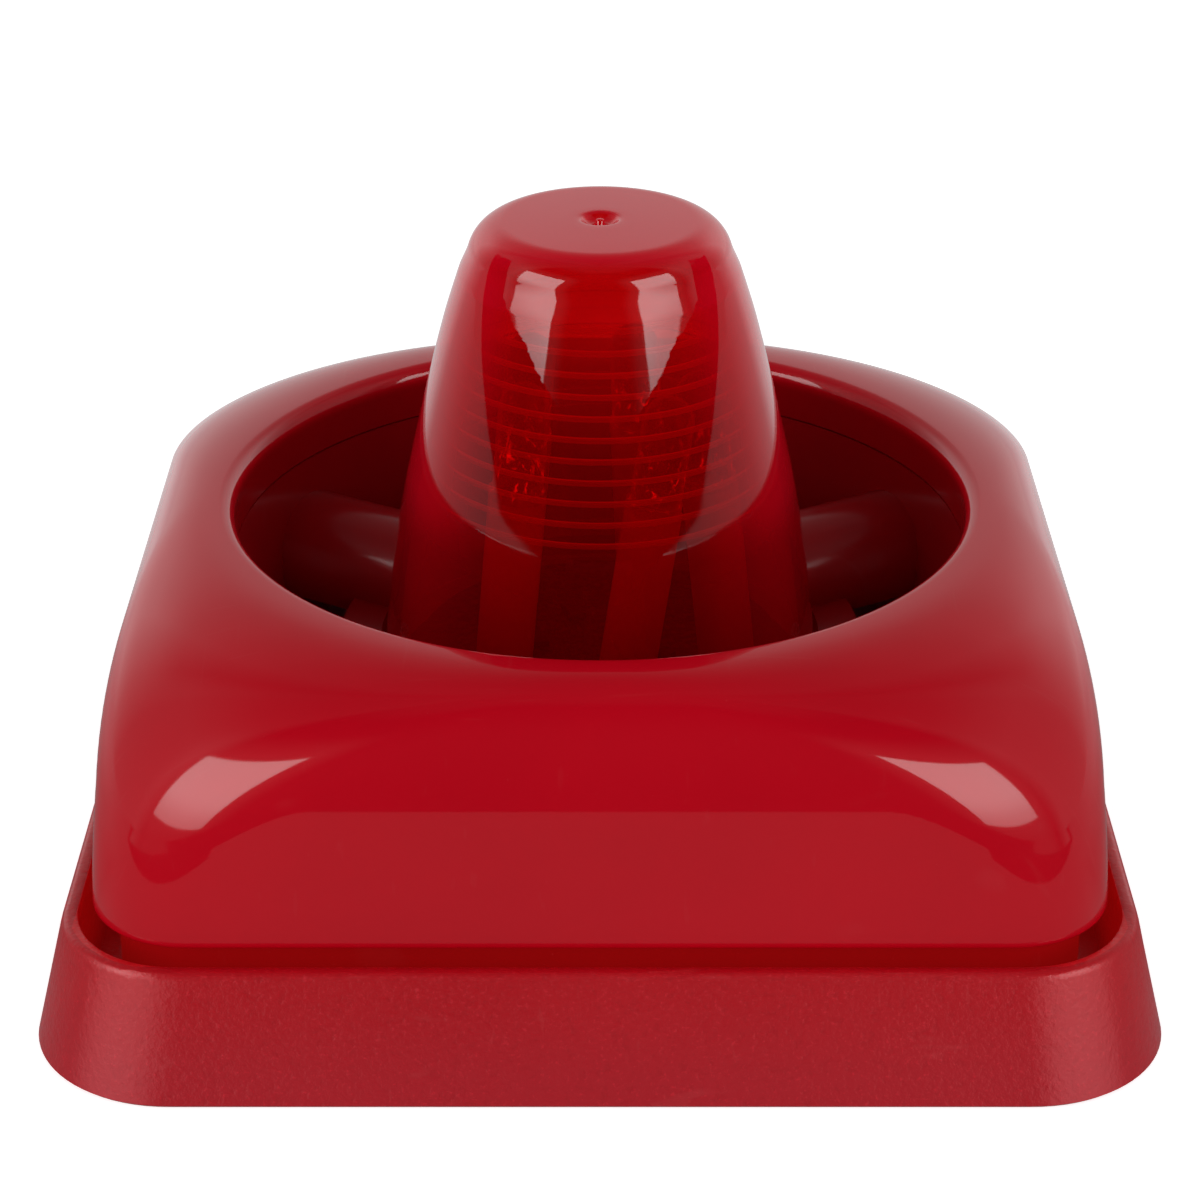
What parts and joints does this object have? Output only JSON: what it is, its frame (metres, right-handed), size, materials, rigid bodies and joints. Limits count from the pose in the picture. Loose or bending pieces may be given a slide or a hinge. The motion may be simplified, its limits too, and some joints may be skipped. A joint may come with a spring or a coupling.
{
  "type": "alarm siren",
  "caption": "Square wall-mounted alarm siren with a rounded cover, a round horn mouth and a tapered translucent beacon lens at its centre, on a separate mounting base.",
  "frame": {"origin": "centre of the mounting base at the wall plane", "axes": "+Z out of the wall along the horn axis, +X to the right and -Y towards the side that carries the terminal block"},
  "size_m": [0.108, 0.108, 0.0677],
  "materials": {
    "cover_red": "gloss",
    "base_red": "fine matte texture",
    "lens_red": "clear red, gloss",
    "black_plastic": "satin",
    "rubber_black": "matte",
    "terminal_green": "satin",
    "brass": "satin",
    "zinc_steel": "satin",
    "tinned_copper": "satin",
    "board_green": "solder mask gloss",
    "lamp_red": "diffused epoxy",
    "spacer_white": "satin",
    "ceramic": "matte fired ceramic",
    "wire_red": "satin",
    "wire_black": "satin",
    "switch_red": "satin",
    "white_plastic": "satin",
    "trimmer_blue": "satin",
    "ferrite": "matte sintered",
    "enamelled_copper": "enamelled",
    "cap_sleeve": "gloss sleeve",
    "nylon": "satin"
  },
  "bodies": {
    "base": {"mounting_base": "base_red", "cable_grommet": "rubber_black", "threaded_inserts": "brass", "terminal_block": "terminal_green", "terminal_block_screws": "zinc_steel", "terminal_contacts": "brass"},
    "head": {"outer_cover": "cover_red", "horn_chassis": "cover_red", "cover_screws": "zinc_steel", "beacon_lens": "lens_red", "lens_retainer": "black_plastic", "retainer_screws": "zinc_steel", "led_board": "board_green", "led_spacers": "spacer_white", "led_lamps": "lamp_red", "led_leads": "tinned_copper", "led_resistors": "black_plastic", "led_wire_red": "wire_red", "led_wire_black": "wire_black", "sounder_ring": "black_plastic", "piezo_disc": "brass", "piezo_ceramic": "ceramic", "piezo_leads": "tinned_copper", "main_board": "board_green", "board_screws": "zinc_steel", "pin_header": "black_plastic", "supply_pins": "brass", "dip_switch_body": "switch_red", "trimmer_body": "trimmer_blue", "inductor_core": "ferrite", "inductor_winding": "enamelled_copper", "capacitors": "cap_sleeve", "controller_chip": "black_plastic", "controller_legs": "tinned_copper", "chip_parts": "black_plastic"},
    "terminal_screw_1": {"terminal_screw_1": "zinc_steel"},
    "terminal_screw_2": {"terminal_screw_2": "zinc_steel"},
    "terminal_screw_3": {"terminal_screw_3": "zinc_steel"},
    "terminal_screw_4": {"terminal_screw_4": "zinc_steel"},
    "terminal_clamp_1": {"terminal_clamp_1": "zinc_steel"},
    "terminal_clamp_2": {"terminal_clamp_2": "zinc_steel"},
    "terminal_clamp_3": {"terminal_clamp_3": "zinc_steel"},
    "terminal_clamp_4": {"terminal_clamp_4": "zinc_steel"},
    "dip_slider_1": {"dip_slider_1": "white_plastic"},
    "dip_slider_2": {"dip_slider_2": "white_plastic"},
    "dip_slider_3": {"dip_slider_3": "white_plastic"},
    "dip_slider_4": {"dip_slider_4": "white_plastic"},
    "trimmer_rotor": {"trimmer_rotor": "white_plastic"},
    "fixing_washer_left": {"fixing_washer_left": "nylon"},
    "fixing_washer_right": {"fixing_washer_right": "nylon"},
    "fixing_screw_left": {"fixing_screw_left": "zinc_steel"},
    "fixing_screw_right": {"fixing_screw_right": "zinc_steel"}
  },
  "joints": [
    {"name": "head_lift", "type": "slide", "parent": "base", "child": "head", "axis": [0, 0, 1], "range_m": [0, 0.04]},
    {"name": "terminal_screw_1_turn", "type": "hinge", "parent": "base", "child": "terminal_screw_1", "pos_m": [-0.00762, -0.0358, 0.0098], "axis": [0, 0, -1], "range_deg": [0, 720]},
    {"name": "terminal_clamp_1_rise", "type": "slide", "parent": "base", "child": "terminal_clamp_1", "axis": [0, 0, 1], "range_m": [0, 0.0009]},
    {"name": "terminal_screw_2_turn", "type": "hinge", "parent": "base", "child": "terminal_screw_2", "pos_m": [-0.00254, -0.0358, 0.0098], "axis": [0, 0, -1], "range_deg": [0, 720]},
    {"name": "terminal_clamp_2_rise", "type": "slide", "parent": "base", "child": "terminal_clamp_2", "axis": [0, 0, 1], "range_m": [0, 0.0009]},
    {"name": "terminal_screw_3_turn", "type": "hinge", "parent": "base", "child": "terminal_screw_3", "pos_m": [0.00254, -0.0358, 0.0098], "axis": [0, 0, -1], "range_deg": [0, 720]},
    {"name": "terminal_clamp_3_rise", "type": "slide", "parent": "base", "child": "terminal_clamp_3", "axis": [0, 0, 1], "range_m": [0, 0.0009]},
    {"name": "terminal_screw_4_turn", "type": "hinge", "parent": "base", "child": "terminal_screw_4", "pos_m": [0.00762, -0.0358, 0.0098], "axis": [0, 0, -1], "range_deg": [0, 720]},
    {"name": "terminal_clamp_4_rise", "type": "slide", "parent": "base", "child": "terminal_clamp_4", "axis": [0, 0, 1], "range_m": [0, 0.0009]},
    {"name": "dip_slider_1_slide", "type": "slide", "parent": "head", "child": "dip_slider_1", "axis": [0, 1, 0], "range_m": [0, 0.0015]},
    {"name": "dip_slider_2_slide", "type": "slide", "parent": "head", "child": "dip_slider_2", "axis": [0, 1, 0], "range_m": [0, 0.0015]},
    {"name": "dip_slider_3_slide", "type": "slide", "parent": "head", "child": "dip_slider_3", "axis": [0, 1, 0], "range_m": [0, 0.0015]},
    {"name": "dip_slider_4_slide", "type": "slide", "parent": "head", "child": "dip_slider_4", "axis": [0, 1, 0], "range_m": [0, 0.0015]},
    {"name": "volume_turn", "type": "hinge", "parent": "head", "child": "trimmer_rotor", "pos_m": [-0.026, 0.024, 0.008], "axis": [0, 0, -1], "range_deg": [-130, 130]},
    {"name": "fixing_washer_left_rise", "type": "slide", "parent": "head", "child": "fixing_washer_left", "axis": [0, 0, 1], "range_m": [0, 0.0045]},
    {"name": "fixing_screw_left_turn", "type": "hinge", "parent": "fixing_washer_left", "child": "fixing_screw_left", "pos_m": [-0.0313, 0, 0.0205], "axis": [0, 0, 1], "range_deg": [0, 3240]},
    {"name": "fixing_washer_right_rise", "type": "slide", "parent": "head", "child": "fixing_washer_right", "axis": [0, 0, 1], "range_m": [0, 0.0045]},
    {"name": "fixing_screw_right_turn", "type": "hinge", "parent": "fixing_washer_right", "child": "fixing_screw_right", "pos_m": [0.0313, 0, 0.0205], "axis": [0, 0, 1], "range_deg": [0, 3240]}
  ],
  "couplings": [
    {"joint": "terminal_screw_1_turn", "follows": "terminal_clamp_1_rise", "rad_per_m": 13963},
    {"joint": "terminal_screw_2_turn", "follows": "terminal_clamp_2_rise", "rad_per_m": 13963},
    {"joint": "terminal_screw_3_turn", "follows": "terminal_clamp_3_rise", "rad_per_m": 13963},
    {"joint": "terminal_screw_4_turn", "follows": "terminal_clamp_4_rise", "rad_per_m": 13963},
    {"joint": "fixing_screw_left_turn", "follows": "fixing_washer_left_rise", "rad_per_m": 12566},
    {"joint": "fixing_screw_right_turn", "follows": "fixing_washer_right_rise", "rad_per_m": 12566}
  ]
}
